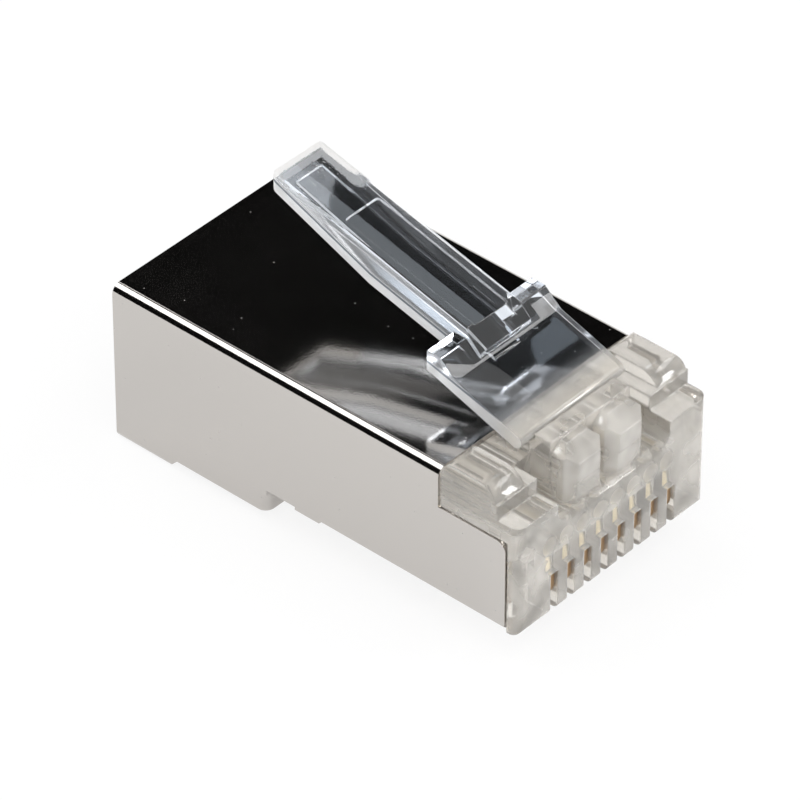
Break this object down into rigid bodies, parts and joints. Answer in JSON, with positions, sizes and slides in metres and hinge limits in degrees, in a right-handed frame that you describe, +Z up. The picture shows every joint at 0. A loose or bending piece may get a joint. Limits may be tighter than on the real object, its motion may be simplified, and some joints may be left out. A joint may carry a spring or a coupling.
{
  "type": "shielded ethernet plug",
  "caption": "Clear modular plug for ethernet cable with a folded metal shield, a row of gold-plated contact blades and a springy latch lever that locks it into a jack.",
  "frame": {"origin": "middle of the underside of the plug's box, on the level of the shield's rear flanges", "axes": "+X along the plug towards the nose, +Y across it, +Z up towards the latch"},
  "size_m": [0.0216, 0.0116, 0.0135],
  "materials": {
    "clear_plastic": "clear moulded polycarbonate",
    "plated_shield": "bright nickel plating",
    "gold_contact": "gold plating"
  },
  "bodies": {
    "plug": {"housing": "clear_plastic", "shield": "plated_shield", "contact_1": "gold_contact", "contact_2": "gold_contact", "contact_3": "gold_contact", "contact_4": "gold_contact", "contact_5": "gold_contact", "contact_6": "gold_contact", "contact_7": "gold_contact", "contact_8": "gold_contact"},
    "latch": {"latch": "clear_plastic"}
  },
  "joints": [
    {"name": "latch_flex", "type": "hinge", "parent": "plug", "child": "latch", "pos_m": [0.00833, 0, 0.00845], "axis": [0, -1, 0], "range_deg": [0, 15], "stiffness_Nm_per_rad": 0.25}
  ]
}
